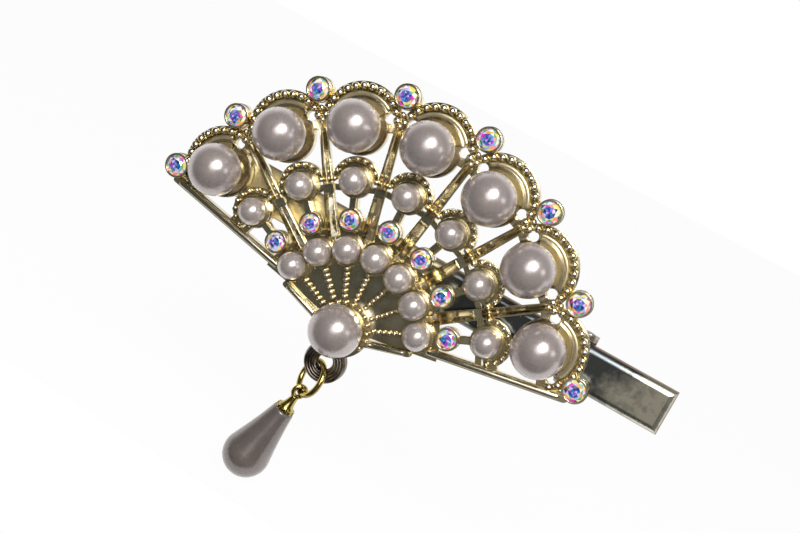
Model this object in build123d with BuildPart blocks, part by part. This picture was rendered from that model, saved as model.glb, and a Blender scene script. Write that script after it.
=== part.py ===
from build123d import *
import os
from math import atan2, cos, degrees, radians, sin

# Fan-shaped dress barrette: a cast openwork fan set with pearls and stones, glued to a sprung
# two-armed metal clip, with a pearl drop hanging from a ring under the fan's pivot.
#
# Millimetres. The pieces are drawn round the fan's pivot, on the front of its sheet, and are moved
# as they are written, so that the finished model's origin is the middle of the clip's grip. +Z
# runs from the pivot to the middle of the rim, +X along the clip towards its levers, and the face
# looks to -Y. A height is measured from the front of the sheet towards the viewer, so it is -Y.

# ---------------------------------------------------------------- fan: layout
bays = 7
bay_angle = 21.9          # degrees from one bay to the next
sheet = 1.1               # thickness of the cast sheet
seat_gap = 0.05           # clearance between a pearl or stone and its seat
ledge = 0.12              # cups, settings and beds stand this far inside the sheet's edge

# ---------------------------------------------------------------- pearls: size, place, height
rim_pearl_d = 7.6
rim_pearl_at = 28.8
rim_pearl_up = 3.9
middle_pearl_d = 4.0
middle_pearl_at = 21.2
middle_pearl_up = 1.6
inner_pearl_d = 4.0
inner_pearl_at = 11.4
inner_pearl_up = 1.65
pivot_pearl_d = 7.7
pivot_pearl_up = 3.2
peg_r = 0.45              # cast pegs that the large pearls are glued on
peg_reach = 1.6           # how far a peg goes into its pearl
peg_gap = 0.05

# ---------------------------------------------------------------- stones and their settings
outer_stone_d = 3.0
outer_stone_at = 34.2
outer_stone_up = 1.1      # height of the girdle
end_stone_angle = 74.6    # the last stone on each side stands a little closer
inner_stone_d = 2.7
inner_stone_at = 15.66
inner_stone_up = 0.95
setting_wall = 0.38
setting_lip = 0.15        # the setting's rim above the girdle
crown_share = 0.30        # crown height, pavilion depth and table, as shares of the radius
pavilion_share = 0.72
table_share = 0.58
girdle = 0.12
culet_share = 0.06        # the blunt tip under a stone
pocket_tip_r = 0.05       # the blunt bottom of the pocket it sits in

# ---------------------------------------------------------------- scallops, cups and ribs
scallop_at = 29.3         # centre of the beaded arc, a little outside the pearl's
scallop_r = 6.05
scallop_bed = 1.2         # width of the raised bed that carries the beads
scallop_bed_up = 0.25
dish_depth = 0.45         # hollow between the pearl and the beads
rim_cup_at = 28.9
rim_cup_r = 4.55
rim_cup_wall = 0.35       # the cup's upstanding edge
rim_cup_up = 0.5
rim_back_r = 4.0          # the sheet behind a rim pearl, on the pivot's side
rim_seat_r = 2.3
rim_seat_up = 0.7
middle_arc_r = 3.55
middle_bed = 0.8
middle_bed_up = 0.15
small_cup_wall = 0.5
small_cup_up = 0.65
pivot_disc_r = 4.25
pivot_cup_r = 3.3
pivot_cup_up = 0.7
eyelet_r = 0.75           # round holes either side of each outer stone's foot
eyelet_at = 30.65
eyelet_angle = 7.75
rib_from = 12.8
rib_to = 29.6
rib_notch = 1.3           # gap in a rib's ridge where the arms cross it
rib_foot_in = 1.9         # width of a rib's foot at its inner and outer end
rib_foot_out = 1.25
rib_foot_up = 0.3
ridge_in = 1.5
ridge_out = 0.8
ridge_up = 1.0
arm_w = 0.9               # short arms between the ribs and the cups
arm_at = 20.1
strut_w = 1.2
strut_up = 0.55
sector_r = 14.5
sector_angle = 79.5

# ---------------------------------------------------------------- side bars
side_inner = ((4.0, -0.25), (10.2, 1.7))
side_outer = ((12.6, 3.4), (32.2, 7.2))
side_inner_w = 1.1
side_outer_w = 1.2
side_bar_up = 0.75
web_w = 1.9               # webs from the end bays' middle cups to the side bars
web_to = (21.4, 5.85)
web_up = 0.25

# ---------------------------------------------------------------- pendant
loop_drop = 5.6           # pivot to the loop's centre
loop_r = 3.15
loop_t = 1.6
loop_chamfer = 0.25
loop_hole_r = 1.1
loop_flare_r = 1.8        # the hole's radius at each face
ring_r = 2.7              # centreline of the jump ring
ring_wire_r = 0.45
ring_turn = -47.0         # the ring's turn about its hanging line
link_gap = 0.05           # play between two linked wires
lean = 13.3               # the pendant hangs this far off the fan's axis
eye_hole_r = 0.6
eye_wire_r = 0.35
cap_top_r = 0.55
cap_waist_r = 1.15        # the dome where it meets the flange
cap_flange_r = 1.5
cap_flange_t = 0.45
cap_length = 2.6
cap_runs = ((0.1, -1), (0.6, -1))   # the way the dome's side runs at its top and at its flange
cap_points = 10           # points of the crown round the flange
cap_notch_r = 0.22
drop_pearl_d = 7.2
drop_pearl_length = 12.7
drop_top_r = 1.65
drop_top_fillet = 0.33
drop_shoulder = 15.0      # degrees above the belly where its round side becomes the neck
drop_neck_run = (-0.16, 1)   # the way the neck's side runs as it reaches the top
drop_peg_reach = 3.0

# ---------------------------------------------------------------- clip
strip_z = 12.0            # the clip's centre line
strip_w = 6.7
strip_nose = -27.0
strip_end = 45.3
strip_t = 0.6
strip_rim = 1.3           # depth of the folded edge
strip_fold_r = 1.1
arm_corner_r = 1.2
glue_t = 0.2
glue_pad = (13, 4, 1)     # middle pad: length, width and corner, and how far it is below the clip's line
glue_pad_below = 1
glue_spot = (3.6, 2.0, 0.8)
glue_spot_below = 2
hinge_x = 31.0
hinge_drop = 2.2          # the pin's distance behind the strip's inner face
pin_r = 0.6
pin_gap = 0.05
pin_head_r = 0.9
pin_head = 0.35
pin_head_fillet = 0.21
ear_t = 0.55
ear_r = 1.45
ear_gap = 0.1
arm_t = 0.6
jaw_gap = 0.15            # the lower arm's clearance inside the strip's folded sides
lever_step = 0.2          # how much narrower the lever is on each side
flange_t = 0.5
flange_up = 1.25
tooth_pitch = 1.5
tooth_depth = 0.6
teeth = 9
first_tooth = 0.7         # pitches from the flange's end to the first notch between teeth
nose_gap = 0.2            # the closed jaw's nose inside the strip's folded end
bite_gap = 0.2            # between the closed teeth and the strip
heel_drop = 2.6           # from the pin to the lower arm's outer face behind it
heel_before = 3.0         # how far the level heel runs either side of the pin
heel_after = 3.5
lever_rise = 1.7          # how far the lever's end stands off from the heel
lever_back = 0.7          # the lever ends this much short of the strip
spring_coil_r = 1.55
spring_wire_r = 0.25
spring_pitch = 0.6
spring_turns = 4
spring_leg = 8.0
spring_leg_angles = (4.0, 2.5)   # how far the lower and upper legs splay from the clip's line

# ---------------------------------------------------------------- worked-out values
bay_angles = [(i - (bays - 1) / 2) * bay_angle for i in range(bays)]
rib_angles = [(i - bays / 2) * bay_angle for i in range(1, bays)]
stone_angles = [-end_stone_angle] + rib_angles + [end_stone_angle]
strip_front = sheet + glue_t
strip_inside = strip_front + strip_t
strip_back = strip_inside + strip_rim - strip_t
hinge_y = strip_inside + hinge_drop
heel_depth = hinge_y + heel_drop
lever_depth = heel_depth + lever_rise
jaw_w = strip_w - 2 * (strip_t + jaw_gap)
lever_w = jaw_w - 2 * lever_step
jaw_nose = strip_nose + strip_t + nose_gap
jaw_nose_depth = strip_inside + bite_gap + flange_up + arm_t
heel_from = hinge_x - heel_before
heel_to = hinge_x + heel_after
jaw_slope = (heel_depth - jaw_nose_depth) / (heel_from - jaw_nose)
bite_depth = jaw_nose_depth - jaw_slope * jaw_nose - arm_t - flange_up   # flange edge at the fan's middle
grip = Vector(0, (strip_inside + bite_depth) / 2, strip_z)


def at(radius, angle):
    """A point (x, z) of the fan. The angle runs from +Z towards +X."""
    return radius * sin(radians(angle)), radius * cos(radians(angle))


def spoke(angle, radius=0.0):
    """A place in a sketch of the face, turned so that its y axis points outwards."""
    x, z = at(radius, angle)
    return Location((x, z, 0), (0, 0, -angle))


def facing(point, up=0.0):
    """A place in space whose z axis points at the viewer."""
    return Location((point[0], -up, point[1]), (90, 0, 0))


def section(radius, angle):
    """A plane across a spoke of the fan, whose x axis points at the viewer."""
    x, z = at(radius, angle)
    return Plane((x, 0, z), x_dir=(0, -1, 0), z_dir=(sin(radians(angle)), 0, cos(radians(angle))))


def bar(start, end, width):
    """A straight bar of the face between two points, drawn in the current sketch."""
    middle = ((start[0] + end[0]) / 2, (start[1] + end[1]) / 2)
    run = Vector(end[0] - start[0], end[1] - start[1])
    turn = degrees(atan2(run.Y, run.X))
    with Locations(Location((*middle, 0), (0, 0, turn))):
        SlotOverall(run.length + width, width)


def lobe(centre_at, radius, base_at):
    """A disc of a bay, cut off below a line across the bay. The pivot is the sketch's origin."""
    with BuildSketch() as shape:
        with Locations((0, centre_at)):
            Circle(radius)
        with Locations((0, base_at)):
            Rectangle(3 * radius, 3 * radius, align=(Align.CENTER, Align.MAX), mode=Mode.SUBTRACT)
    return shape.sketch


def side_bars(inset):
    """Both pairs of side bars, drawn in the current sketch."""
    for side in (-1, 1):
        for (start, end), width in ((side_inner, side_inner_w), (side_outer, side_outer_w)):
            bar((side * start[0], start[1]), (side * end[0], end[1]), width - 2 * inset)


def webs(inset):
    """The webs between the end bays' middle cups and the side bars, drawn in the current sketch."""
    for side in (-1, 1):
        start = at(middle_pearl_at, side * bay_angles[-1])
        bar(start, (side * web_to[0], web_to[1]), web_w - 2 * inset)


def face(height):
    """The drawing plane of the face at a height above the front of the sheet."""
    return Plane.XZ.offset(height)


def write(part, name):
    """Move a finished piece to the grip's frame, label it and write it to its own file."""
    part = part.moved(Location(-grip))
    part.label = name
    export_step(part, f"parts/{name}.step")


os.makedirs("parts", exist_ok=True)

rim_places = [at(rim_pearl_at, a) for a in bay_angles]
rim_cup_places = [at(rim_cup_at, a) for a in bay_angles]
middle_places = [at(middle_pearl_at, a) for a in bay_angles]
inner_places = [at(inner_pearl_at, a) for a in bay_angles]
outer_stone_places = [at(outer_stone_at, a) for a in stone_angles]
inner_stone_places = [at(inner_stone_at, a) for a in bay_angles]
outer_setting_r = outer_stone_d / 2 + setting_wall
inner_setting_r = inner_stone_d / 2 + setting_wall
small_cup_r = middle_pearl_d / 2 + small_cup_wall
loop_place = (0, -loop_drop)
scallop_base = rim_pearl_at - arm_w / 2

# ================================================================ fan casting
with BuildSketch() as sector:
    with BuildLine():
        Line((0, 0), at(sector_r, -sector_angle))
        ThreePointArc(at(sector_r, -sector_angle), (0, sector_r), at(sector_r, sector_angle))
        Line(at(sector_r, sector_angle), (0, 0))
    make_face()

with BuildPart() as fan_casting:
    # The openwork sheet.
    with BuildSketch(face(0)):
        add(sector.sketch)
        with Locations(*[spoke(a) for a in bay_angles]):
            add(lobe(scallop_at, scallop_r, scallop_base))
            add(lobe(middle_pearl_at, middle_arc_r, middle_pearl_at))
        with Locations(*rim_places):
            Circle(rim_back_r)
        with Locations(*middle_places):
            Circle(small_cup_r)
        with Locations(*outer_stone_places):
            Circle(outer_setting_r)
        with Locations(*inner_stone_places):
            Circle(inner_setting_r)
        with Locations(*[spoke(a, (rib_from + rib_to) / 2) for a in rib_angles]):
            Rectangle(rib_foot_out - 2 * ledge, rib_to - rib_from)
        with Locations(*[spoke(a, (inner_stone_at + middle_pearl_at) / 2) for a in bay_angles]):
            Rectangle(strut_w, middle_pearl_at - inner_stone_at)
        with Locations(*[spoke(a, arm_at) for a in bay_angles]):
            Rectangle(2 * arm_at * sin(radians(bay_angle / 2)), arm_w)
        side_bars(0)
        webs(0)
        Circle(pivot_disc_r)
        with Locations(loop_place):
            Circle(loop_r, mode=Mode.SUBTRACT)
        Circle(pivot_cup_r)
        eyelets = [at(eyelet_at, a + side * eyelet_angle) for a in bay_angles for side in (-1, 1)]
        with Locations(*eyelets):
            Circle(eyelet_r, mode=Mode.SUBTRACT)
    extrude(amount=-sheet)

    # Beds that carry the bead rows round each scallop and each middle pearl.
    with BuildSketch(face(0)):
        with Locations(*[spoke(a) for a in bay_angles]):
            add(lobe(scallop_at, scallop_r - ledge, scallop_base + ledge))
        with Locations(*[at(scallop_at, a) for a in bay_angles]):
            Circle(scallop_r - scallop_bed, mode=Mode.SUBTRACT)
        with Locations(*eyelets):
            Circle(eyelet_r + ledge, mode=Mode.SUBTRACT)
    extrude(amount=scallop_bed_up)
    with BuildSketch(face(0)):
        with Locations(*[spoke(a) for a in bay_angles]):
            add(lobe(middle_pearl_at, middle_arc_r - ledge, middle_pearl_at + ledge))
        with Locations(*middle_places):
            Circle(middle_arc_r - middle_bed, mode=Mode.SUBTRACT)
    extrude(amount=middle_bed_up)

    # Rim cups: an upstanding edge on the rim's side of a hollow dish.
    with BuildSketch(face(0)):
        with Locations(*[spoke(a) for a in bay_angles]):
            add(lobe(rim_cup_at, rim_cup_r - ledge, scallop_base + ledge))
        with Locations(*eyelets):
            Circle(eyelet_r + ledge, mode=Mode.SUBTRACT)
    extrude(amount=rim_cup_up)
    dish_r = rim_cup_r - ledge - rim_cup_wall
    with Locations(*[facing(p, (rim_cup_up - dish_depth) / 2) for p in rim_cup_places]):
        Cone(dish_r - dish_depth, dish_r, dish_depth + rim_cup_up, mode=Mode.SUBTRACT)

    # Pearl seats.
    with BuildSketch(face(-dish_depth)):
        with Locations(*rim_places):
            Circle(rim_seat_r)
    extrude(amount=dish_depth + rim_seat_up)
    with BuildSketch(face(0)):
        with Locations(*middle_places, *inner_places):
            Circle(small_cup_r - ledge)
    extrude(amount=small_cup_up)
    with BuildSketch(face(0)):
        Circle(pivot_cup_r - ledge)
    extrude(amount=pivot_cup_up)

    # Stone settings, side bars and struts.
    with BuildSketch(face(0)):
        with Locations(*outer_stone_places):
            Circle(outer_setting_r - ledge / 2)
    extrude(amount=outer_stone_up + setting_lip)
    with BuildSketch(face(0)):
        with Locations(*inner_stone_places):
            Circle(inner_setting_r - ledge / 2)
    extrude(amount=inner_stone_up + setting_lip)
    with BuildSketch(face(0)):
        side_bars(ledge)
    extrude(amount=side_bar_up)
    with BuildSketch(face(0)):
        webs(ledge)
    extrude(amount=web_up)
    strut_from = inner_stone_at + inner_setting_r - setting_wall
    strut_to = middle_pearl_at - small_cup_r + small_cup_wall
    with BuildSketch(face(0)):
        with Locations(*[spoke(a, (strut_from + strut_to) / 2) for a in bay_angles]):
            Rectangle(strut_w - 2 * ledge, strut_to - strut_from)
    extrude(amount=strut_up)

    # Ribs: a tapering foot, with a roof-shaped ridge on it that stops either side of the arms.
    for angle in rib_angles:
        for start, end, low, high, wide_in, wide_out, pointed in (
            (rib_from, rib_to, 0, rib_foot_up, rib_foot_in, rib_foot_out, False),
            (rib_from, arm_at - rib_notch / 2, rib_foot_up, ridge_up, ridge_in, ridge_out, True),
            (arm_at + rib_notch / 2, rib_to, rib_foot_up, ridge_up, ridge_in, ridge_out, True),
        ):
            for radius in (start, end):
                share = (radius - rib_from) / (rib_to - rib_from)
                half = (wide_in + share * (wide_out - wide_in)) / 2
                with BuildSketch(section(radius, angle)):
                    top = [(high, 0)] if pointed else [(high, -half), (high, half)]
                    Polygon((low, -half), *top, (low, half), align=None)
            loft()

    # The hollows that the pearls and stones sit in.
    with Locations(*[facing(p, rim_pearl_up) for p in rim_places]):
        Sphere(rim_pearl_d / 2 + seat_gap, mode=Mode.SUBTRACT)
    with Locations(*[facing(p, middle_pearl_up) for p in middle_places]):
        Sphere(middle_pearl_d / 2 + seat_gap, mode=Mode.SUBTRACT)
    with Locations(*[facing(p, inner_pearl_up) for p in inner_places]):
        Sphere(inner_pearl_d / 2 + seat_gap, mode=Mode.SUBTRACT)
    with Locations(facing((0, 0), pivot_pearl_up)):
        Sphere(pivot_pearl_d / 2 + seat_gap, mode=Mode.SUBTRACT)
    for places, diameter, up in (
        (outer_stone_places, outer_stone_d, outer_stone_up),
        (inner_stone_places, inner_stone_d, inner_stone_up),
    ):
        pocket_r = diameter / 2 + seat_gap
        depth = pavilion_share * diameter / 2 + seat_gap
        with Locations(*[facing(p, up - depth) for p in places]):
            Cone(pocket_tip_r, pocket_r, depth, align=(Align.CENTER, Align.CENTER, Align.MIN),
                 mode=Mode.SUBTRACT)
        with Locations(*[facing(p, up) for p in places]):
            Cylinder(pocket_r, 1, align=(Align.CENTER, Align.CENTER, Align.MIN), mode=Mode.SUBTRACT)

    # Pegs for the large pearls.
    rim_peg_top = rim_pearl_up - rim_pearl_d / 2 + peg_reach
    pivot_peg_top = pivot_pearl_up - pivot_pearl_d / 2 + peg_reach
    with BuildSketch(face(-sheet)):
        with Locations(*rim_places):
            Circle(peg_r)
    extrude(amount=sheet + rim_peg_top)
    with BuildSketch(face(-sheet)):
        Circle(peg_r)
    extrude(amount=sheet + pivot_peg_top)
write(fan_casting.part, "fan_casting")


# ================================================================ pearls
def round_pearl(name, place, diameter, up, drilled):
    """A round pearl at its seat, half drilled for a peg if it is a large one."""
    with BuildPart() as pearl:
        with Locations(facing(place, up)):
            Sphere(diameter / 2)
        if drilled:
            with Locations(facing(place, up - diameter / 2)):
                Cylinder(peg_r + peg_gap, 2 * (peg_reach + peg_gap), mode=Mode.SUBTRACT)
    write(pearl.part, name)


for i in range(bays):
    round_pearl(f"rim_pearl_{i + 1}", rim_places[i], rim_pearl_d, rim_pearl_up, True)
    round_pearl(f"middle_pearl_{i + 1}", middle_places[i], middle_pearl_d, middle_pearl_up, False)
    round_pearl(f"inner_pearl_{i + 1}", inner_places[i], inner_pearl_d, inner_pearl_up, False)
round_pearl("pivot_pearl", (0, 0), pivot_pearl_d, pivot_pearl_up, True)


# ================================================================ stones
def stone(name, place, diameter, up):
    """A round stone: a pointed pavilion, a thin girdle and a crown with a flat table."""
    r = diameter / 2
    with BuildPart() as gem:
        with Locations(facing(place, up)):
            Cone(culet_share * r, r, pavilion_share * r, align=(Align.CENTER, Align.CENTER, Align.MAX))
            Cylinder(r, girdle, align=(Align.CENTER, Align.CENTER, Align.MIN))
        with Locations(facing(place, up + girdle)):
            Cone(r, table_share * r, crown_share * r, align=(Align.CENTER, Align.CENTER, Align.MIN))
    write(gem.part, name)


for i, place in enumerate(outer_stone_places):
    stone(f"outer_stone_{i + 1}", place, outer_stone_d, outer_stone_up)
for i, place in enumerate(inner_stone_places):
    stone(f"inner_stone_{i + 1}", place, inner_stone_d, inner_stone_up)

# ================================================================ pendant loop
loop_depth = sheet / 2
with BuildPart() as pendant_loop:
    with Locations(facing(loop_place, -loop_depth)):
        Cylinder(loop_r, loop_t)
    chamfer(pendant_loop.edges().filter_by(GeomType.CIRCLE), loop_chamfer)
    with Locations(facing((0, 0))):
        Cylinder(pivot_cup_r, 4 * loop_t, mode=Mode.SUBTRACT)
    with Locations(facing(loop_place, -loop_depth)):
        Cone(loop_hole_r, loop_flare_r, loop_t / 2, align=(Align.CENTER, Align.CENTER, Align.MIN),
             mode=Mode.SUBTRACT)
        Cone(loop_flare_r, loop_hole_r, loop_t / 2, align=(Align.CENTER, Align.CENTER, Align.MAX),
             mode=Mode.SUBTRACT)
write(pendant_loop.part, "pendant_loop")

# ================================================================ jump ring and drop
# Both are placed on the line that leaves the loop's centre at the pendant's lean.
hang = Location((0, loop_depth, -loop_drop), (0, lean, 0))
ring_top = loop_hole_r - ring_wire_r - link_gap
ring_centre = ring_top + ring_r
ring_bottom = ring_centre + ring_r

with BuildPart() as jump_ring:
    ring_place = hang * Location((0, 0, -ring_centre), (0, 0, ring_turn))
    with Locations(ring_place * Location((0, 0, 0), (90, 0, 0))):
        Torus(ring_r, ring_wire_r)
write(jump_ring.part, "jump_ring")

drop_place = hang * Location((0, 0, -ring_bottom), (0, 0, ring_turn))
eye_r = eye_hole_r + eye_wire_r
eye_down = eye_hole_r - ring_wire_r - link_gap
cap_top = -(eye_down + eye_r)
cap_rim = cap_top - cap_length
pearl_top = cap_rim - seat_gap
pearl_bottom = pearl_top - drop_pearl_length
belly_r = drop_pearl_d / 2
belly_z = pearl_bottom + belly_r

with BuildPart() as drop_pearl:
    with BuildSketch(Plane.XZ):
        with BuildLine():
            belly = CenterArc((0, belly_z), belly_r, -90, 90 + drop_shoulder)
            side = Spline(belly @ 1, (drop_top_r, pearl_top), tangents=(belly % 1, drop_neck_run))
            Polyline(side @ 1, (0, pearl_top), (0, pearl_bottom))
        make_face()
    revolve(axis=Axis.Z)
    fillet(drop_pearl.edges().group_by(Axis.Z)[-1], drop_top_fillet)
    with Locations((0, 0, pearl_top)):
        Cylinder(peg_r + peg_gap, 2 * (drop_peg_reach + peg_gap), mode=Mode.SUBTRACT)
write(drop_place * drop_pearl.part, "drop_pearl")

with BuildPart() as drop_cap:
    with BuildSketch(Plane.XZ):
        with BuildLine():
            flange_z = cap_rim + cap_flange_t
            dome = Spline((cap_top_r, cap_top), (cap_waist_r, flange_z), tangents=cap_runs)
            Polyline(dome @ 1, (cap_flange_r, flange_z), (cap_flange_r, cap_rim), (0, cap_rim))
            Polyline((0, cap_rim), (0, cap_top), dome @ 0)
        make_face()
    revolve(axis=Axis.Z)
    with Locations((0, 0, cap_rim)):
        with PolarLocations(cap_flange_r, cap_points):
            Cylinder(cap_notch_r, cap_flange_t, align=(Align.CENTER, Align.CENTER, Align.MIN),
                     mode=Mode.SUBTRACT)
    # The eye above the cap, and the peg below it.
    with Locations(Location((0, 0, -eye_down), (0, 90, 0))):
        Torus(eye_r, eye_wire_r)
    with Locations((0, 0, cap_rim)):
        Cylinder(peg_r, drop_peg_reach, align=(Align.CENTER, Align.CENTER, Align.MAX))
write(drop_place * drop_cap.part, "drop_cap")

# ================================================================ clip: upper strip
strip_mid = (strip_nose + strip_end) / 2
strip_length = strip_end - strip_nose
ear_inside = strip_w / 2 - ear_t

with BuildPart() as clip_strip:
    with BuildSketch(face(-strip_front)):
        with Locations((strip_mid, strip_z)):
            Rectangle(strip_length, strip_w)
    extrude(amount=-(strip_back - strip_front))
    fillet(clip_strip.faces().sort_by(Axis.Y)[0].edges(), strip_fold_r)
    with BuildSketch(face(-strip_inside)):
        with Locations((strip_mid, strip_z)):
            Rectangle(strip_length - 2 * strip_t, strip_w - 2 * strip_t)
    extrude(amount=-strip_rim, mode=Mode.SUBTRACT)
    for start in (strip_z - strip_w / 2, strip_z + ear_inside):
        with BuildSketch(Plane.XY.offset(start)):
            with Locations((hinge_x, hinge_y)):
                Circle(ear_r)
                Rectangle(2 * ear_r, hinge_y - strip_inside, align=(Align.CENTER, Align.MAX))
        extrude(amount=ear_t)
    with Locations((hinge_x, hinge_y, strip_z)):
        Cylinder(pin_r + pin_gap, 3 * strip_w, mode=Mode.SUBTRACT)
write(clip_strip.part, "clip_strip")

# ================================================================ clip: lower arm
lever_end = strip_end - lever_back
outer_ear = strip_w / 2 + ear_gap


def arm_profile(stations, front, back):
    """The side view of part of the arm, between two depths below its outer face line."""
    with BuildSketch(Plane.XY.offset(strip_z)) as profile:
        top = [(x, depth - front) for x, depth in stations]
        bottom = [(x, depth - back) for x, depth in reversed(stations)]
        Polygon(*top, *bottom, align=None)
    return profile.sketch


jaw_line = [(jaw_nose, jaw_nose_depth), (heel_from, heel_depth)]
heel_line = [(heel_from, heel_depth), (heel_to, heel_depth)]
lever_line = [(heel_to, heel_depth), (lever_end, lever_depth)]

with BuildPart() as lower_arm:
    extrude(arm_profile(jaw_line, 0, arm_t), amount=jaw_w / 2, both=True)
    extrude(arm_profile(heel_line, 0, arm_t), amount=jaw_w / 2, both=True)
    extrude(arm_profile(lever_line, 0, arm_t), amount=lever_w / 2, both=True)
    fillet(lower_arm.edges().filter_by(Axis.Y).group_by(Axis.X)[0], arm_corner_r)
    fillet(lower_arm.edges().filter_by(Axis.Y).group_by(Axis.X)[-1], arm_corner_r)
    # Flanges along the jaw, cut into teeth near its nose.
    flange_ends = (jaw_nose + arm_corner_r, heel_from - arm_corner_r)
    flange_line = [(x, jaw_nose_depth + jaw_slope * (x - jaw_nose)) for x in flange_ends]
    for side in (-1, 1):
        flange = arm_profile(flange_line, arm_t / 2, arm_t + flange_up)
        outside = side * jaw_w / 2
        extrude(flange.moved(Location((0, 0, outside))), amount=-side * flange_t, dir=(0, 0, 1))
    with BuildSketch(Plane.XY.offset(strip_z)):
        for i in range(teeth):
            x = flange_line[0][0] + (i + first_tooth) * tooth_pitch
            edge = jaw_nose_depth + jaw_slope * (x - jaw_nose) - arm_t - flange_up
            half = tooth_pitch / 2
            Polygon((x - half, edge - 0.05), (x + half, edge - 0.05), (x, edge + tooth_depth), align=None)
    extrude(amount=jaw_w, both=True, mode=Mode.SUBTRACT)
    # Hinge ears, outside the strip's own, on a wider bridge.
    with BuildSketch(Plane.XY.offset(strip_z)):
        with Locations((hinge_x, heel_depth)):
            Rectangle(2 * ear_r, arm_t, align=(Align.CENTER, Align.MAX))
    extrude(amount=outer_ear + ear_t, both=True)
    for start in (strip_z - outer_ear - ear_t, strip_z + outer_ear):
        with BuildSketch(Plane.XY.offset(start)):
            with Locations((hinge_x, hinge_y)):
                Circle(ear_r)
                Rectangle(2 * ear_r, heel_depth - hinge_y, align=(Align.CENTER, Align.MIN))
        extrude(amount=ear_t)
    with Locations((hinge_x, hinge_y, strip_z)):
        Cylinder(pin_r + pin_gap, 3 * strip_w, mode=Mode.SUBTRACT)
write(lower_arm.part, "lower_arm")

# ================================================================ hinge pin, spring and glue
pin_half = outer_ear + ear_t + pin_gap
with BuildPart() as hinge_pin:
    with Locations((hinge_x, hinge_y, strip_z)):
        Cylinder(pin_r, 2 * pin_half)
    for side in (-1, 1):
        with Locations((hinge_x, hinge_y, strip_z + side * (pin_half + pin_head / 2))):
            Cylinder(pin_head_r, pin_head)
    fillet(hinge_pin.edges().group_by(Axis.Z)[-1] + hinge_pin.edges().group_by(Axis.Z)[0], pin_head_fillet)
write(hinge_pin.part, "hinge_pin")

first = 90 + spring_leg_angles[0]
last = 270 - spring_leg_angles[1]
turns = spring_turns + (last - first) / 360
coil_length = turns * spring_pitch
coil_start = strip_z - coil_length / 2


with BuildPart() as torsion_spring:
    coil = Helix(spring_pitch, coil_length, spring_coil_r)
    coil = Location((hinge_x, hinge_y, coil_start), (0, 0, first)) * coil
    with BuildSketch(Plane(coil @ 0, z_dir=coil % 0)):
        Circle(spring_wire_r)
    sweep(path=coil, is_frenet=True)
    # Straight legs run on from both ends of the coil.
    for point, heading in ((coil @ 0, -(coil % 0)), (coil @ 1, coil % 1)):
        with BuildSketch(Plane(point, z_dir=heading)):
            Circle(spring_wire_r)
        extrude(amount=spring_leg)
write(torsion_spring.part, "torsion_spring")

with BuildPart() as glue_pads:
    with BuildSketch(face(-sheet)):
        with Locations((0, strip_z - glue_pad_below)):
            RectangleRounded(*glue_pad)
        for side in (-1, 1):
            x, z = at(middle_pearl_at, side * bay_angles[-1])
            with Locations((x, strip_z - glue_spot_below)):
                RectangleRounded(*glue_spot)
    extrude(amount=-glue_t)
write(glue_pads.part, "glue_pads")
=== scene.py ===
# %% [markdown]
# # A fan-shaped hair clip with pearls
#
# The real piece is a gold-plated casting in the shape of an open fan. Imitation pearls sit in its
# cups and coated glass stones in its settings, a folded metal clip is glued behind it, and a pearl
# drop hangs below. The frame brings in the exact parts. This lesson adds what a frame can't carry:
# plating, nacre, cut glass, the beaded edges of the casting, a floor, some light and a camera.

# %% The frame
from math import atan2, cos, pi, radians, sin, tau

import bmesh
import bpy
from mathutils import Matrix, Vector


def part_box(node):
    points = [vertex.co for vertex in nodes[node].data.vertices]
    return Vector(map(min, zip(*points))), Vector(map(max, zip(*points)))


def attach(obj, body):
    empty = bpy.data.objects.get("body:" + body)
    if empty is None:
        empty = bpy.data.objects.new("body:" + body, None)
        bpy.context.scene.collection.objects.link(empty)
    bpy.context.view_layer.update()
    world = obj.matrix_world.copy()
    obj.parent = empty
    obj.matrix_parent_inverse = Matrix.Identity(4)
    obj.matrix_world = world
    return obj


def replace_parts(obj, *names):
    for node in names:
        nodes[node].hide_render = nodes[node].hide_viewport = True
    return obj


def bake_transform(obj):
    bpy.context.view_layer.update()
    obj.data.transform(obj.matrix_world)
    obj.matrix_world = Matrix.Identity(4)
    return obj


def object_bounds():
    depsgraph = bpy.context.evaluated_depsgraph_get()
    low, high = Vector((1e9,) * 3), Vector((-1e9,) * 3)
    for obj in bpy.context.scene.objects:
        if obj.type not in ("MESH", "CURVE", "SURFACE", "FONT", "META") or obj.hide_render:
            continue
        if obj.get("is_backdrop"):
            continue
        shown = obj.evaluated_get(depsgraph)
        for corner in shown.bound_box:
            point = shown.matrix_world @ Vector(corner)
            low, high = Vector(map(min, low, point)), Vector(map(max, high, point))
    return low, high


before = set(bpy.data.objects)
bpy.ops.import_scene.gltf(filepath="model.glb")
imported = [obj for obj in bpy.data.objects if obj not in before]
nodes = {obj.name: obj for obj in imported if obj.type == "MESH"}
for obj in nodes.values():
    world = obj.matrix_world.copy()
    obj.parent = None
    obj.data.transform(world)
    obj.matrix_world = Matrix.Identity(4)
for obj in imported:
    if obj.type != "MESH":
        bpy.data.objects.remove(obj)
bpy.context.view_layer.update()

scene = bpy.context.scene
mm = 0.001


# %% [markdown]
# ## Where the fan is
#
# Everything on the fan is laid out round its pivot, so a place is easiest to say as a distance
# from the pivot, an angle from the middle of the rim, and a height above the front of the sheet.
# The pivot and the sheet are measured from the parts themselves, so the lesson follows them if
# they move.

# %% Measure the layout
def middle(part):
    low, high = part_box(part)
    return (low + high) / 2


def width(part):
    low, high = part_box(part)
    return high.x - low.x


sheet_t = 1.1 * mm   # thickness of the cast sheet
bays = 7             # scallops, each with a large, a middle and an inner pearl
pivot = middle("pivot_pearl")
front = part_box("fan_casting")[1].y - sheet_t


def at(out, angle, up=0.0):
    """The point this far from the pivot, at this angle from the middle of the rim."""
    return Vector((pivot.x + out * sin(angle), front - up, pivot.z + out * cos(angle)))


def angle_of(point):
    return atan2(point.x - pivot.x, point.z - pivot.z)


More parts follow.
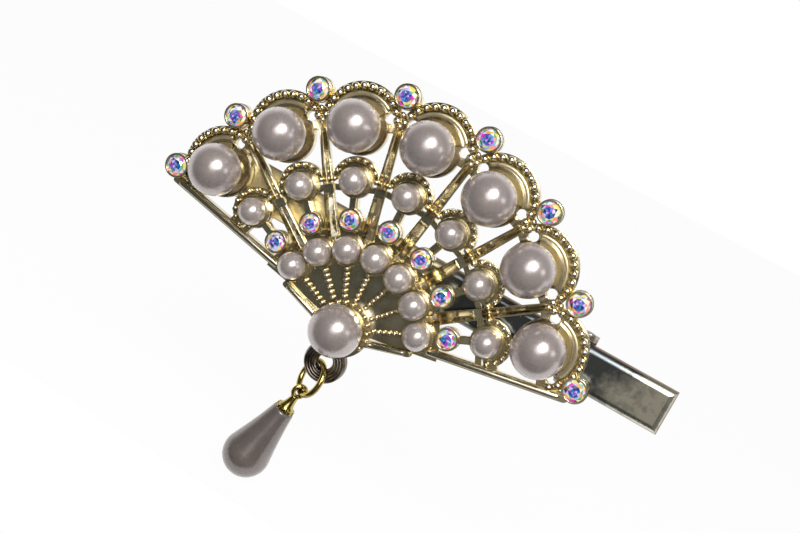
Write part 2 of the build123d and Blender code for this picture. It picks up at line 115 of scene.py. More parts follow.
rim = [middle(f"rim_pearl_{i + 1}") for i in range(bays)]
mid = [middle(f"middle_pearl_{i + 1}") for i in range(bays)]
inner = [middle(f"inner_pearl_{i + 1}") for i in range(bays)]
bay_angle = (angle_of(rim[-1]) - angle_of(rim[0])) / (bays - 1)
print("bays are", round(bay_angle * 180 / pi, 2), "degrees apart")


# %% [markdown]
# ## Sums with sockets
#
# A finish is a small sum: some noise times a strength, less a mask. Wiring each step by hand hides
# the sum, so a socket is wrapped in a class whose operators add the Math node for us. Anything
# that isn't a sum comes from one method that takes the node's type, its settings and its inputs.
# The scale of a noise counts its features per metre, so a bigger number is a finer noise.

# %% The wrapped socket
class Wire:
    def __init__(self, paint, made, output=0):
        self.paint, self.made = paint, made
        self.socket = made.outputs[output] if made.outputs else None

    def __getitem__(self, output):
        return Wire(self.paint, self.made, output)

    def sum(self, operation, first, second):
        return self.paint.node("Math", {"operation": operation}, {0: first, 1: second})

    def __add__(self, other):
        return self.sum("ADD", self, other)

    def __sub__(self, other):
        return self.sum("SUBTRACT", self, other)

    def __rsub__(self, other):
        return self.sum("SUBTRACT", other, self)

    def __mul__(self, other):
        return self.sum("MULTIPLY", self, other)

    def __pow__(self, other):
        return self.sum("POWER", self, other)

    __radd__, __rmul__ = __add__, __mul__


class Paint:
    """The nodes of one material, world or light."""

    def __init__(self, tree):
        self.tree = tree
        tree.nodes.clear()

    def node(self, kind, settings=None, inputs=None):
        made = self.tree.nodes.new("ShaderNode" + kind)
        for key, value in (settings or {}).items():
            setattr(made, key, value)
        for key, value in (inputs or {}).items():
            if isinstance(value, Wire):
                self.tree.links.new(value.socket, made.inputs[key])
            else:
                made.inputs[key].default_value = value
        return Wire(self, made)

    def blend(self, amount, first, second):
        """The first colour where the amount is 0, the second where it is 1."""
        colours = [c if isinstance(c, Wire) else (*c, 1.0) for c in (first, second)]
        mix = self.node("Mix", {"data_type": "RGBA"}, {0: amount, 6: colours[0], 7: colours[1]})
        return mix[2]

    def span(self, value, low, high, to_low=0.0, to_high=1.0):
        """A value stretched so that low gives to_low and high gives to_high, and held there."""
        return self.node("MapRange", None, {0: value, 1: low, 2: high, 3: to_low, 4: to_high})

    def along(self, toward, direction):
        """How far a direction points along another, from -1 to 1."""
        dot = self.node("VectorMath", {"operation": "DOT_PRODUCT"}, {0: toward, 1: direction})
        return dot["Value"]

    def noise(self, scale, detail=2.0, roughness=0.5, stretch=None):
        place = self.node("TexCoord")["Object"]
        if stretch:
            place = self.node("VectorMath", {"operation": "MULTIPLY"}, {0: place, 1: stretch})
        return self.node("TexNoise", None, {"Vector": place, "Scale": scale, "Detail": detail,
                                            "Roughness": roughness})

    def bump(self, height, distance, strength=1.0, under=None):
        inputs = {"Height": height, "Distance": distance, "Strength": strength}
        if under:
            inputs["Normal"] = under
        return self.node("Bump", None, inputs)


def finish_of(name):
    material = bpy.data.materials.new(name)
    material.use_nodes = True
    paint = Paint(material.node_tree)
    paint.material = material
    return paint


def surface(paint, **sockets):
    """Ends a finish with the Principled shader. Base_Color here is its socket Base Color."""
    inputs = {key.replace("_", " "): (*value, 1.0) if isinstance(value, tuple) else value
              for key, value in sockets.items()}
    shader = paint.node("BsdfPrincipled", None, inputs)
    paint.node("OutputMaterial", None, {0: shader})
    return paint.material


print("sockets can be added, subtracted, multiplied and raised to a power")


# %% [markdown]
# ## Pale gold plating
#
# The casting is plated in a thin pale gold over a shiny base. It is a mirror first of all, so it
# is fully metallic, and most of what we see is its surroundings. Its colour is painted deeper in
# hollows, which is painted shade, and the sides that face down are painted a brown shade.
# Ambient Occlusion finds the hollows from the shape and the normal finds the lower sides. Soft
# noise breaks up the polish, so no part looks like plain metal. The real edges are rounded, so
# the Bevel node turns the shading over near each edge. The hollows behind the large pearls get a
# paler copy of the gold, which is painted light, and are duller, and the wire of the drop is a
# deeper yellow.

# %% Gold
hollow_shade_reach, edge_round = 1.2 * mm, 0.16 * mm
pit_depth, dent_depth = 0.012 * mm, 0.10 * mm
shade_direction = (0.30, 0.25, -0.92)


def facing(paint, direction):
    """How squarely the surface faces this direction of its own piece, from -1 to 1."""
    return paint.along(paint.node("TexCoord")["Normal"], direction)


# pale is the gold in the open; deep is the painted shade in hollows and also the colour of stains
def gold(name, pale, deep, underside_shade_colour, polish=0.16, uneven=1.0):
    paint = finish_of(name)
    # painted shade: the colour goes deep in the hollows that Ambient Occlusion finds
    openness_for_painted_shade = paint.node("AmbientOcclusion", {"samples": 6}, {"Distance": hollow_shade_reach})["AO"]
    tone = paint.blend(openness_for_painted_shade ** 1.5, deep, pale)
    # painted shade: sides that face down are blended towards a brown shade colour
    underside_shade_amount = paint.span(facing(paint, shade_direction), 0.10, 0.85, 0.0, 0.85)
    tone = paint.blend(underside_shade_amount, tone, underside_shade_colour)
    stains = paint.span(paint.noise(240, 3.0), 0.38, 0.68, 0.0, 0.35)
    tone = paint.blend(stains, tone, deep)
    rough = paint.span(paint.noise(700, 3.0), 0.3, 0.7, polish * 0.75, polish * 1.35)
    soft_edge = paint.node("Bevel", {"samples": 4}, {"Radius": edge_round})
    pits = paint.bump(paint.noise(2600, 2.0), pit_depth, 0.35, soft_edge)
    dents = paint.bump(paint.noise(240, 1.0), dent_depth * uneven, 0.5, pits)
    return surface(paint, Base_Color=tone, Metallic=1.0, Roughness=rough, Normal=dents)


cast_gold = gold("cast_gold", pale=(0.96, 0.90, 0.70), deep=(0.78, 0.63, 0.30),
                 underside_shade_colour=(0.20, 0.15, 0.09))
# painted light: the dishes get a paler copy of the casting gold
lit_dish_gold = gold("lit_dish_gold", pale=(1.0, 0.92, 0.64), deep=(0.94, 0.80, 0.42),
                 underside_shade_colour=(0.88, 0.74, 0.38), polish=0.36)
wire_gold = gold("wire_gold", pale=(0.66, 0.52, 0.16), deep=(0.28, 0.19, 0.04),
                 underside_shade_colour=(0.16, 0.11, 0.03), polish=0.15, uneven=0.3)
print("three golds:", cast_gold.name, lit_dish_gold.name, wire_gold.name)


# %% [markdown]
# ## The clip's plating
#
# The clip is folded from plated sheet that has been handled for years. Its flat face is a dark
# bluish grey towards the fan end and creamy towards the free end, in patches with soft edges.
# Noise shifts a ramp that runs along the clip, so the dark part has no straight border. The
# turned-down sides are blended towards a brown, which is painted shade. Behind the glued end of
# the fan the plating is as new, warm and a little dull. On the lower arm, which is handled each
# time the clip opens, the dark part is only a pale grey gold.

# %% Clip plating
cream, speck, warm, side_shade = ((0.95, 0.92, 0.78), (0.22, 0.21, 0.18),
                                  (0.98, 0.82, 0.46), (0.30, 0.22, 0.15))
dark_end, cream_start = 34 * mm, 40 * mm   # measured along the clip
warm_full, warm_gone = 2 * mm, 12 * mm
speck_depth, ripple_depth = 0.006 * mm, 0.05 * mm


def clip_plating(name, near_fan_tone):
    paint = finish_of(name)
    along_clip = paint.node("SeparateXYZ", None, {0: paint.node("TexCoord")["Object"]})["X"]
    patches = paint.noise(190, 4.0, 0.6)
    specks = paint.noise(900, 3.0, 0.6)
    # the flat face is darker towards the fan end and creamy towards the free end
    toward_free_end = paint.span(along_clip + (patches - 0.5) * (26 * mm), dark_end, cream_start)
    tone = paint.blend(toward_free_end, near_fan_tone, cream)
    tone = paint.blend(paint.span(specks, 0.50, 0.72, 0.0, 0.55), tone, speck)
    glued = paint.span(along_clip + (patches - 0.5) * (10 * mm), warm_gone, warm_full)
    tone = paint.blend(glued, tone, warm)
    flat = facing(paint, (0, -1, 0)) ** 2
    # painted shade: the turned-down sides are blended towards a brown shade colour
    tone = paint.blend(paint.span(flat, 0.55, 0.15), tone, side_shade)
    dull_fold = paint.span(flat, 0.99, 0.88, 0.0, 0.18)
    rough = paint.span(patches, 0.35, 0.65, 0.12, 0.20) + dull_fold + glued * 0.28
    grain = paint.bump(specks, speck_depth, 0.3)
    ripples = paint.bump(paint.noise(110, 1.0), ripple_depth, 0.4, grain)
    return surface(paint, Base_Color=tone, Metallic=1.0, Roughness=rough, Normal=ripples)


strip_gold = clip_plating("strip_gold", near_fan_tone=(0.16, 0.18, 0.19))
arm_gold = clip_plating("arm_gold", near_fan_tone=(0.64, 0.60, 0.50))
print("clip plating:", strip_gold.name, arm_gold.name)


# %% [markdown]
# ## Nacre
#
# An imitation pearl is a bead dipped in pearl lacquer. It is a soft white with a hint of mauve
# that drifts over the surface, under a clear top coat. The body is partly metallic and fairly
# rough and the coat is smoother, which gives the wide glow and the bright spot that tell a pearl
# from a plastic ball. A little sheen lightens the rim. The small pearls are paler than the large
# ones. The drop is the same nacre painted darker, which is painted shade, and it is less glossy.

# %% Nacre
def nacre(name, body, drift, metal=0.45, gloss=0.85):
    paint = finish_of(name)
    tone = paint.blend(paint.span(paint.noise(260, 3.0, 0.55), 0.3, 0.7), body, drift)
    rough = paint.span(paint.noise(900, 2.0), 0.3, 0.7, 0.23, 0.32)
    skin = paint.bump(paint.noise(3200, 2.0), 0.006 * mm, 0.25)
    return surface(paint, Base_Color=tone, Metallic=metal, Roughness=rough, IOR=1.62,
                   Coat_Weight=gloss, Coat_Roughness=0.2, Coat_IOR=1.7, Normal=skin,
                   Sheen_Weight=0.22 * gloss, Sheen_Roughness=0.4, Sheen_Tint=(1.0, 0.95, 0.89))


white_nacre = nacre("white_nacre", (0.58, 0.495, 0.465), (0.53, 0.46, 0.45))
small_nacre = nacre("small_nacre", (0.68, 0.595, 0.55), (0.63, 0.555, 0.535))
# painted shade: the drop is the same nacre with a darker body colour
shaded_drop_nacre = nacre("shaded_drop_nacre", (0.245, 0.20, 0.18), (0.195, 0.165, 0.155), metal=0.30, gloss=0.6)
print("three nacres")


# %% [markdown]
# ## Dark metal, spring steel and glue
#
# The loop under the pivot is a bronze part whose plating has worn dark. It was turned, so rings of
# fine grooves run round its middle, a sine wave of the distance from there. The spring is bare
# steel wire drawn through a die, so fine lines run along it. Hard glue is cloudy and yellowish.

# %% The plainer finishes
groove_gap = 0.42 * mm


def dark_bronze():
    paint = finish_of("dark_bronze")
    cloud = paint.noise(500, 4.0, 0.6)
    spoke = paint.node("VectorMath", {"operation": "SUBTRACT"},
                       {0: paint.node("TexCoord")["Object"], 1: tuple(middle("pendant_loop"))})
    spoke = paint.node("VectorMath", {"operation": "MULTIPLY"}, {0: spoke, 1: (1, 0, 1)})
    out = paint.node("VectorMath", {"operation": "LENGTH"}, {0: spoke})["Value"]
    groove = paint.node("Math", {"operation": "SINE"}, {0: out * (tau / groove_gap) + cloud * 2.0})
    worn = paint.span(cloud + groove * 0.10, 0.35, 0.7)
    tone = paint.blend(worn, (0.075, 0.06, 0.055), (0.34, 0.28, 0.22))
    rough = paint.span(cloud, 0.3, 0.7, 0.22, 0.42)
    skin = paint.bump(groove, 0.05 * mm, 0.6, paint.bump(paint.noise(1800, 3.0), 0.03 * mm, 0.5))
    return surface(paint, Base_Color=tone, Metallic=1.0, Roughness=rough, Normal=skin)


def spring_steel():
    paint = finish_of("spring_steel")
    lines = paint.noise(900, 2.0, 0.5, (0.15, 1.0, 1.0))
    tone = paint.blend(lines, (0.42, 0.42, 0.43), (0.66, 0.66, 0.66))
    rough = paint.span(lines, 0.3, 0.7, 0.2, 0.36)
    return surface(paint, Base_Color=tone, Metallic=1.0, Roughness=rough,
                   Normal=paint.bump(lines, 0.01 * mm, 0.4))


def hard_glue():
    paint = finish_of("hard_glue")
    cloud = paint.noise(700, 3.0)
    tone = paint.blend(cloud, (0.62, 0.55, 0.40), (0.78, 0.73, 0.60))
    return surface(paint, Base_Color=tone, Roughness=paint.span(cloud, 0.3, 0.7, 0.25, 0.45),
                   Normal=paint.bump(cloud, 0.05 * mm, 0.5))


loop_bronze, coil_steel, pad_glue = dark_bronze(), spring_steel(), hard_glue()
print("three plain finishes")


# %% [markdown]
# ## The casting
#
# A casting has no sharp edge: the mould rounds it, polishing rounds it more, and plating fills the
# corners. The frame's fan has crisp edges. Remeshing and smoothing it would wear away its thin
# walls, so the mesh stays, and the Bevel node in the gold turns the shading over within a sixth of
# a millimetre of each edge. Light then runs along the edges as it does on the real one.

# %% Dress the casting
def dress(part, material):
    piece = nodes[part]
    piece.data.materials.clear()
    piece.data.materials.append(material)
    return piece


casting = dress("fan_casting", cast_gold)
print("casting dressed:", len(casting.data.polygons), "faces")


# %% [markdown]
# ## Rounded rails
#
# The long side bars of the casting aren't flat: each carries a round rail that draws one bright
# line along it. A rail is a half-round bar with round ends, a little flatter than it is wide. Its
# cross-section is a row of points, copied from one end to the other and shrunk at both ends.

# %% Make rails
def new_piece(name, mesh, material, body="fan"):
    piece = bpy.data.objects.new(name, mesh)
    scene.collection.objects.link(piece)
    mesh.materials.append(material)
    for face in mesh.polygons:
        face.use_smooth = True
    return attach(piece, body)


forward = Vector((0, -1, 0))
rail_height = 0.75   # of its half width


def rail(name, start, end, radius):
    """A rail is made from stations: how far along each is, and how large the section is there."""
    form = bmesh.new()
    run = (end - start).normalized()
    side = run.cross(forward)
    length = (end - start).length
    stations = [(radius * (1 - cos(a)), sin(a)) for a in (0.05, 0.4, 0.8, 1.2, pi / 2)]
    stations += [(length - along, size) for along, size in reversed(stations)]
    section = [(forward * sin(t) * rail_height + side * cos(t)) * radius
               for t in [pi * k / 12 for k in range(-1, 14)]]
    rings = [[form.verts.new(start + run * along + point * size) for point in section]
             for along, size in stations]
    for low, high in zip(rings, rings[1:]):
        for k in range(len(low)):
            n = (k + 1) % len(low)
            form.faces.new([low[k], low[n], high[n], high[k]])
    form.faces.new(rings[0])
    form.faces.new(rings[-1])
    bmesh.ops.recalc_face_normals(form, faces=form.faces)
    mesh = bpy.data.meshes.new(name)
    form.to_mesh(mesh)
    form.free()
    return new_piece(name, mesh, cast_gold)


def on_bar(sign, x, z):
    """The point on top of a side bar, this many millimetres beside and above the pivot."""
    return Vector((pivot.x + sign * x * mm, front - 0.72 * mm, pivot.z + z * mm))


for sign, hand in ((-1, "left"), (1, "right")):
    rail(f"outer_rail_{hand}", on_bar(sign, 12.4, 3.45), on_bar(sign, 31.6, 7.17), 0.46 * mm)
    rail(f"inner_rail_{hand}", on_bar(sign, 4.4, -0.08), on_bar(sign, 9.9, 1.62), 0.42 * mm)
print("four rails")


# %% [markdown]
# ## Beaded edges
#
# Rows of small round beads follow each scallop, each small cup, the rays of the fan and the pivot
# cup. They are cast in one with the sheet, so each is a ball sunk a little into it. A row is one
# mesh of balls, one at each point. Each bead is turned and squashed a little differently, because
# moulds are cut by hand.

# %% Make rows of beads
def bead_row(name, points, size, squash=0.9):
    form = bmesh.new()
    for i, point in enumerate(points):
        wobble = 1 + 0.05 * sin(i * 2.4)
        scale = Matrix.Diagonal((size * wobble, size * squash, size / wobble, 1.0))
        place = Matrix.Translation(point) @ Matrix.Rotation(i * 1.7, 4, "Y") @ scale
        bmesh.ops.create_icosphere(form, subdivisions=3, radius=0.5, matrix=place)
    mesh = bpy.data.meshes.new(name)
    form.to_mesh(mesh)
    form.free()
    return new_piece(name, mesh, cast_gold)


def arc_points(centre, out, turns, up):
    """Points round a centre. A turn of zero points straight away from the pivot."""
    away = angle_of(centre)
    here = Vector((centre.x, front - up, centre.z))
    return [here + Vector((sin(away + t), 0, cos(away + t))) * out for t in turns]


scallop_out, scallop_at = 5.35 * mm, 29.3 * mm
rim_turns = [radians(13.5) * k for k in range(-6, 7)]
cup_turns = [radians(22) * k for k in range(-4, 5)]
ray_steps = [(4.7 + 0.8 * k) * mm for k in range(6)]
for i in range(bays):
    scallop = at(scallop_at, angle_of(rim[i]))
    rim_row = arc_points(scallop, scallop_out, rim_turns, 0.52 * mm)
    bead_row(f"rim_beads_{i + 1}", rim_row, 1.16 * mm)
    cup_row = arc_points(mid[i], 3.1 * mm, cup_turns, 0.4 * mm)
    bead_row(f"middle_beads_{i + 1}", cup_row, 0.84 * mm)
    ray = [at(out, angle_of(inner[i]), 0.25 * mm) for out in ray_steps]
    bead_row(f"ray_beads_{i + 1}", ray, 0.72 * mm)
for i in range(bays - 1):
    between = (angle_of(rim[i]) + angle_of(rim[i + 1])) / 2
    bead_row(f"valley_beads_{i + 1}", [at(31.6 * mm, between, 0.4 * mm),
                                       at(29.9 * mm, between, 0.5 * mm)], 0.9 * mm)
pivot_ring = [at(3.85 * mm, radians(18 * k), 0.3 * mm) for k in range(-6, 7)]
bead_row("pivot_beads", pivot_ring, 0.7 * mm)
print("beads made in", 4 * bays, "rows")


# %% [markdown]
# ## Pearls
#
# A pearl is close to a ball, with a drill hole at the back where its peg is glued. It is made as
# rings of points from the bottom of the hole, out over its lip and round to the front. Each pearl
# takes its size and place from the frame's part and replaces it.

# %% Turn round pieces
def turned(name, profile, origin, axis, material, body, steps=72):
    """A mesh made by turning (radius, height) points about an axis."""
    form = bmesh.new()
    frame_of = Vector((0, 0, 1)).rotation_difference(axis).to_matrix()
    rings = []
    for radius, height in profile:
        count = 1 if radius == 0 else steps
        rings.append([form.verts.new(origin + frame_of @ Vector(
            (radius * cos(k * tau / steps), radius * sin(k * tau / steps), height)))
            for k in range(count)])
    for low, high in zip(rings, rings[1:]):
        for k in range(steps):
            corners = [low[k % len(low)], low[(k + 1) % len(low)],
                       high[(k + 1) % len(high)], high[k % len(high)]]
            corners = list(dict.fromkeys(corners))
            if len(corners) > 2:
                form.faces.new(corners)
    bmesh.ops.recalc_face_normals(form, faces=form.faces)
    mesh = bpy.data.meshes.new(name)
    form.to_mesh(mesh)
    form.free()
    return new_piece(name, mesh, material, body)


def pearl_profile(radius, hole):
    """From the bottom of the drill hole, out over its lip and round to the front."""
    start = pi - hole / radius
    ball = [(radius * sin(start * (1 - k / 48)), radius * cos(start * (1 - k / 48)))
            for k in range(49)]
    ball[-1] = (0, radius)
    drilled, bottom, lip = hole * 0.8, -radius * 0.35, ball[0][1] + hole * 0.3
    return [(0, bottom), (drilled, bottom), (drilled, lip)] + ball


def pearl(part, hole, finish):
    profile = pearl_profile(width(part) / 2, hole)
    made = turned(part + "_nacre", profile, middle(part), forward, finish, "fan")
    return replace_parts(made, part)


for i in range(bays):
    pearl(f"rim_pearl_{i + 1}", 0.5 * mm, white_nacre)
    pearl(f"middle_pearl_{i + 1}", 0.3 * mm, small_nacre)
    pearl(f"inner_pearl_{i + 1}", 0.3 * mm, small_nacre)
pearl("pivot_pearl", 0.5 * mm, white_nacre)
print(3 * bays + 1, "pearls made")


# %% [markdown]
# ## Dishes
#
# Each rim pearl rests in a polished hollow whose side curves up to the cup's edge. That curve
# catches the pearl's own glow as a bright golden crescent, so it is a real curved shell, turned
# round the pearl's axis for as far as the two round holes let it go. Its gold is a paler copy of
# the casting gold, which adds painted light.

# %% Turn the dishes
shell = 0.08 * mm   # thickness of a dish


def dish(name, centre, start_r, end_r, low, high, reach, steps=40):
    """A curved shell that opens from start_r to end_r while it rises from low to high."""
    form = bmesh.new()
    away = angle_of(centre)
    turns = [away + reach * (2 * k / steps - 1) for k in range(steps + 1)]
    rows = []
    for j in range(9):
        share = j / 8
        radius = start_r + (end_r - start_r) * share
        up = low + (high - low) * share ** 1.2
        edges = [[Vector((radius * sin(t), thick - up, radius * cos(t))) for t in turns]
                 for thick in (0.0, shell)]
        rows.append([[form.verts.new(centre + point) for point in line] for line in edges])
    for below, above in zip(rows, rows[1:]):
        for side in (0, 1):
            for k in range(steps):
                form.faces.new([below[side][k], below[side][k + 1],
                                above[side][k + 1], above[side][k]])
    for row in (rows[0], rows[-1]):
        for k in range(steps):
            form.faces.new([row[0][k], row[0][k + 1], row[1][k + 1], row[1][k]])
    for k in (0, steps):
        for below, above in zip(rows, rows[1:]):
            form.faces.new([below[0][k], above[0][k], above[1][k], below[1][k]])
    bmesh.ops.recalc_face_normals(form, faces=form.faces)
    mesh = bpy.data.meshes.new(name)
    form.to_mesh(mesh)
    form.free()
    return new_piece(name, mesh, lit_dish_gold)


for i in range(bays):
    dish(f"dish_{i + 1}", at(28.9 * mm, angle_of(rim[i])), start_r=2.4 * mm, end_r=5.0 * mm,
         low=-0.30 * mm, high=0.78 * mm, reach=radians(57))
print(bays, "dishes turned")


# %% [markdown]
# ## Stones
#
# A rhinestone is a cut glass cone with a foil back and a thin film that splits light into colours.
# A ray tracer could chase light through the glass, but at this size it would only find noise, so
# the colours that light would make are painted on the facets as painted reflections, each facet
# its own, and the facets glow a little in them, which is painted light. A clear coat gives the
# flash on top. The middle takes its colours from one list and the slanted facets round it from
# another.

# %% Coated glass
def coated_glass():
    paint = finish_of("coated_glass")
    tint = paint.node("VertexColor", {"layer_name": "facet"})
    haze = paint.noise(1500, 2.0)
    tone = paint.blend(paint.span(haze, 0.55, 0.8, 0.0, 0.2), tint, (0.9, 0.9, 0.95))
    # painted light: the facets glow a little in their own colours
    return surface(paint, Base_Color=tone, Metallic=0.3, Roughness=0.12, Emission_Color=tone,
                   Emission_Strength=0.45, Coat_Weight=1.0, Coat_Roughness=0.03)


stone_glass = coated_glass()
heart = [(0.03, 0.05, 0.38), (0.14, 0.07, 0.50), (0.02, 0.12, 0.34), (0.40, 0.05, 0.48),
         (0.01, 0.03, 0.16), (0.12, 0.25, 0.75), (0.55, 0.50, 0.90), (0.02, 0.20, 0.36)]
edge = [(0.90, 0.42, 0.08), (0.22, 0.55, 0.50), (0.88, 0.76, 0.18), (0.75, 0.06, 0.50),
        (0.30, 0.42, 0.90), (1.0, 0.97, 0.90), (0.16, 0.34, 0.08), (0.92, 0.35, 0.30),
        (0.06, 0.05, 0.10), (0.70, 0.62, 0.95), (0.95, 0.90, 0.55)]
print("stones are painted from", len(heart) + len(edge), "facet colours")


# %% [markdown]
# ## Cutting a stone
#
# A stone is built ring by ring: the flat table, the star round it, the crown, the girdle where it
# is widest, and the foot that sits in the setting. Each facet gets one colour on all its corners.
# The turn of a stone also shifts its colours, so two stones next to each other never match.

# %% Cut the stones
girdle_share = 0.32   # how deep the widest ring lies, as a share of the stone's height
foil = (0.5, 0.5, 0.6)


def pick(colours, step, shift):
    return colours[(step + int(shift)) % len(colours)]


def stone(part, turn):
    low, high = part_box(part)
    centre, radius, deep = (low + high) / 2, (high.x - low.x) / 2, high.y - low.y
    top = low.y
    girdle = top + deep * girdle_share
    form = bmesh.new()
    layer = form.loops.layers.float_color.new("facet")

    def ring(share, y, count, offset):
        turns = [turn + (k + offset) * tau / count for k in range(count)]
        return [form.verts.new(Vector((centre.x + radius * share * cos(t), y,
                                       centre.z + radius * share * sin(t)))) for t in turns]

    def facet(corners, colour):
        face = form.faces.new(corners)
        for loop in face.loops:
            loop[layer] = (*colour, 1.0)

    core = [form.verts.new(Vector((centre.x, top, centre.z)))]
    table = ring(0.30, top, 8, 0.5)
    star = ring(0.58, top + deep * 0.02, 8, 0)
    crown = ring(0.82, top + (girdle - top) * 0.55, 8, 0.5)
    belt = ring(1.0, girdle, 16, 0)
    foot = ring(0.35, high.y, 16, 0)
    for k in range(8):
        n = (k + 1) % 8
        first, second, third = belt[2 * k], belt[2 * k + 1], belt[(2 * k + 2) % 16]
        facet([core[0], table[k], table[n]], pick(heart, k * 3, turn * 5))
        facet([table[k], star[n], table[n]], pick(heart, k * 5 + 2, turn * 7))
        facet([table[k], star[k], star[n]], pick(heart, k * 2 + 1, turn * 3))
        facet([star[k], crown[k], star[n]], pick(edge, k * 3 + 1, turn * 4))
        facet([crown[k], first, second], pick(edge, k * 5, turn * 6))
        facet([crown[k], second, third], pick(edge, k * 7 + 3, turn * 6))
        facet([crown[k], third, crown[n]], pick(edge, k * 3, turn * 9))
        facet([star[n], crown[k], crown[n]], pick(edge, k * 5 + 4, turn * 2))
    for k in range(16):
        facet([belt[k], foot[k], foot[(k + 1) % 16], belt[(k + 1) % 16]], foil)
    facet(foot, foil)
    bmesh.ops.recalc_face_normals(form, faces=form.faces)
    mesh = bpy.data.meshes.new(part + "_cut")
    form.to_mesh(mesh)
    form.free()
    piece = new_piece(part + "_cut", mesh, stone_glass)
    for face in mesh.polygons:
        face.use_smooth = False
    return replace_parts(piece, part)


for i in range(bays + 1):
    stone(f"outer_stone_{i + 1}", 0.4 + 1.9 * i)
for i in range(bays):
    stone(f"inner_stone_{i + 1}", 1.1 + 2.3 * i)
print(2 * bays + 1, "stones cut")


# %% [markdown]
# ## Clip, loop, ring and drop
#
# These keep the frame's own meshes and only get their finishes. The pin is plated like the arm it
# holds, and the ring and the cap of the drop are the same yellow wire gold.

# %% Dress the rest
finishes = {"clip_strip": strip_gold, "lower_arm": arm_gold, "hinge_pin": arm_gold,
            "pendant_loop": loop_bronze, "jump_ring": wire_gold, "drop_cap": wire_gold,
            "drop_pearl": shaded_drop_nacre, "glue_pads": pad_glue}
for part, material in finishes.items():
    dress(part, material)
print(len(finishes), "more parts dressed")


# %% [markdown]
# ## The spring
#
# A torsion spring has two legs. One lies on the strip and stays with it, and the other presses on
# the lower arm and has to turn with it when the clip opens, which winds the coil a little tighter.
# A part that rides on one body can't do that. Here the spring is a copy of its own mesh with the
# steel finish, and the frame's spring is hidden.

# %% Copy the spring
def bending_spring():
    wire = bpy.data.objects.new("torsion_spring_wire", nodes["torsion_spring"].data.copy())
    wire.matrix_world = nodes["torsion_spring"].matrix_world.copy()
    scene.collection.objects.link(wire)
    wire.data.materials.clear()
    wire.data.materials.append(coil_steel)
    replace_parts(wire, "torsion_spring")
    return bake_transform(wire)


spring = bending_spring()
print("spring of", len(spring.data.polygons), "faces")


# %% [markdown]
# ## The white tent
#
# Jewellery is lit in a white tent: light comes from all round, but the front is open to the dark
# room behind the camera. Gold then shows bright edges round dark middles, and pearls a grey heart
# with a pale rim. The world paints that tent by direction: soft clouds on its walls, a dark open
# side, and a lit table in the room beyond. The camera itself sees plain white behind the clip.

# %% The tent
open_side = Vector((0.19, -0.966, 0.175)).normalized()
far_table = Vector((0.10, -0.975, -0.17)).normalized()
white = (1, 1, 1)


def shown_rays(paint):
    """1 for what is seen, straight or by reflection, and 0 for what only gives light."""
    rays = paint.node("LightPath")
    return rays["Is Camera Ray"] + rays["Is Glossy Ray"] + rays["Is Transmission Ray"]


def tent():
    world = bpy.data.worlds.new("tent")
    scene.world = world
    world.use_nodes = True
    paint = Paint(world.node_tree)
    toward = paint.node("TexCoord")["Generated"]
    cloud = paint.node("TexNoise", None, {"Vector": toward, "Scale": 2.6, "Detail": 2.0})["Fac"]
    dark = paint.blend(paint.span(cloud, 0.42, 0.62), (0.025, 0.025, 0.024), (0.10, 0.10, 0.09))
    near_table = paint.span(paint.along(toward, far_table), 0.955, 0.998, 0.0, 0.9)
    dark = paint.blend(near_table, dark, (0.27, 0.255, 0.23))
    wall = paint.blend(paint.span(cloud, 0.40, 0.62), (1.14, 1.14, 1.16), (0.70, 0.69, 0.68))
    walls = paint.blend(paint.span(paint.along(toward, open_side), -0.42, 0.02), wall, dark)
    backdrop = paint.blend(paint.node("LightPath")["Is Camera Ray"], walls, white)
    seen = paint.node("Background", None, {0: backdrop, 1: 1.0})
    lit = paint.node("Background", None, {0: walls, 1: 1.0})
    out = paint.node("MixShader", None, {0: shown_rays(paint), 1: lit, 2: seen})
    paint.node("OutputWorld", None, {0: out})


tent()
print("tent set up")


# %% [markdown]
# ## Lamps and floor
#
# Three round lamps stand half a metre away. The key is in front and high up, and puts the bright
# spot on each pearl. The glow is weaker and nearer the camera, and the side lamp lifts the edges
# on the right. The floor starts just in front of the clip and runs far back. It looks almost plain
# white, and only a little of its real shading shows, as a faint shadow below.

# %% The lamps and the floor
lamp_away = 0.5
floor_gap, floor_half, floor_near = 1.5 * mm, 3.0, -8 * mm


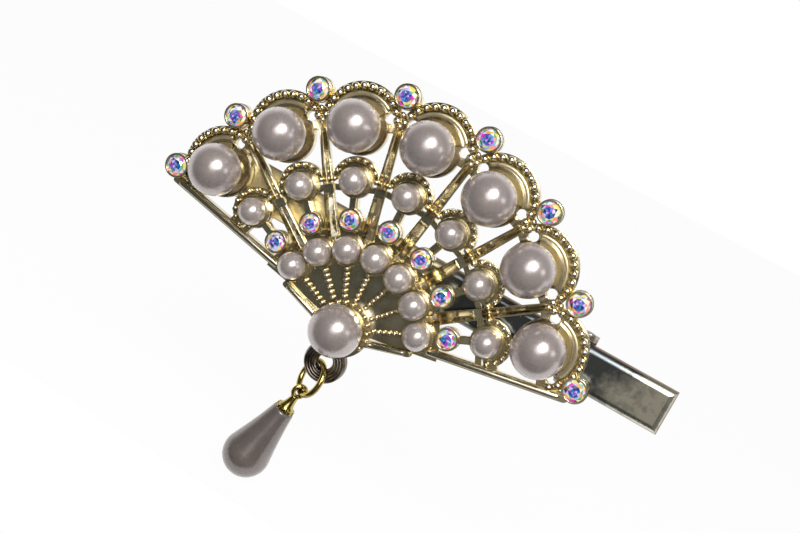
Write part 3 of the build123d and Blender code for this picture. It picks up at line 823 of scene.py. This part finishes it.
def lamp(name, toward, size, power):
    light = bpy.data.lights.new(name, "AREA")
    light.shape, light.size, light.energy = "DISK", size, power
    holder = bpy.data.objects.new(name, light)
    holder.location = Vector(toward).normalized() * lamp_away
    holder.rotation_mode = "QUATERNION"
    holder.rotation_quaternion = Vector(toward).to_track_quat("Z", "Y")
    scene.collection.objects.link(holder)


def pale_floor():
    paint = finish_of("pale_floor")
    soft = paint.node("BsdfDiffuse", None, {0: (0.9, 0.9, 0.9, 1.0)})
    plain = paint.node("Emission", None, {0: (*white, 1.0), 1: 1.0})
    out = paint.node("MixShader", None, {0: shown_rays(paint) * 0.96, 1: soft, 2: plain})
    paint.node("OutputMaterial", None, {0: out})
    mesh = bpy.data.meshes.new("floor")
    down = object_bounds()[0].z - floor_gap
    corners = [(-floor_half, floor_near, down), (floor_half, floor_near, down),
               (floor_half, floor_half, down), (-floor_half, floor_half, down)]
    mesh.from_pydata(corners, [], [(0, 1, 2, 3)])
    mesh.materials.append(paint.material)
    ground = bpy.data.objects.new("floor", mesh)
    scene.collection.objects.link(ground)
    ground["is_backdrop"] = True


lamp("key", (0.30, -0.79, 0.588), size=0.27, power=1.9)
lamp("glow", (0.12, -0.93, 0.34), size=0.30, power=0.48)
lamp("side", (0.80, -0.30, 0.35), size=0.16, power=0.12)
pale_floor()
print("three lamps and the floor in place")


# %% [markdown]
# ## The camera
#
# The clip is seen from in front, a little from the right and from above, and the camera is rolled
# so that the fan leans. Two directions say that: where the camera's right side points, and where
# its back points. The third follows from them.

# %% The camera
focal_length, sensor_width = 50.98, 36.0
camera_place = (0.033976, -0.156996, 0.028066)
camera_right, camera_back = (0.8555, 0.2515, 0.4527), (0.1912, -0.9658, 0.1753)


def camera():
    lens = bpy.data.cameras.new("camera")
    lens.lens, lens.sensor_width = focal_length, sensor_width
    lens.clip_start, lens.clip_end = 0.005, 20
    holder = bpy.data.objects.new("camera", lens)
    back = Vector(camera_back).normalized()
    up = back.cross(Vector(camera_right).normalized()).normalized()
    right = up.cross(back)
    turn = Matrix((right, up, back)).transposed().to_4x4()
    holder.matrix_world = Matrix.Translation(camera_place) @ turn
    scene.collection.objects.link(holder)
    scene.camera = holder


camera()
scene.view_settings.view_transform = "Standard"
print("camera looks from", tuple(round(c, 3) for c in scene.camera.matrix_world.translation))
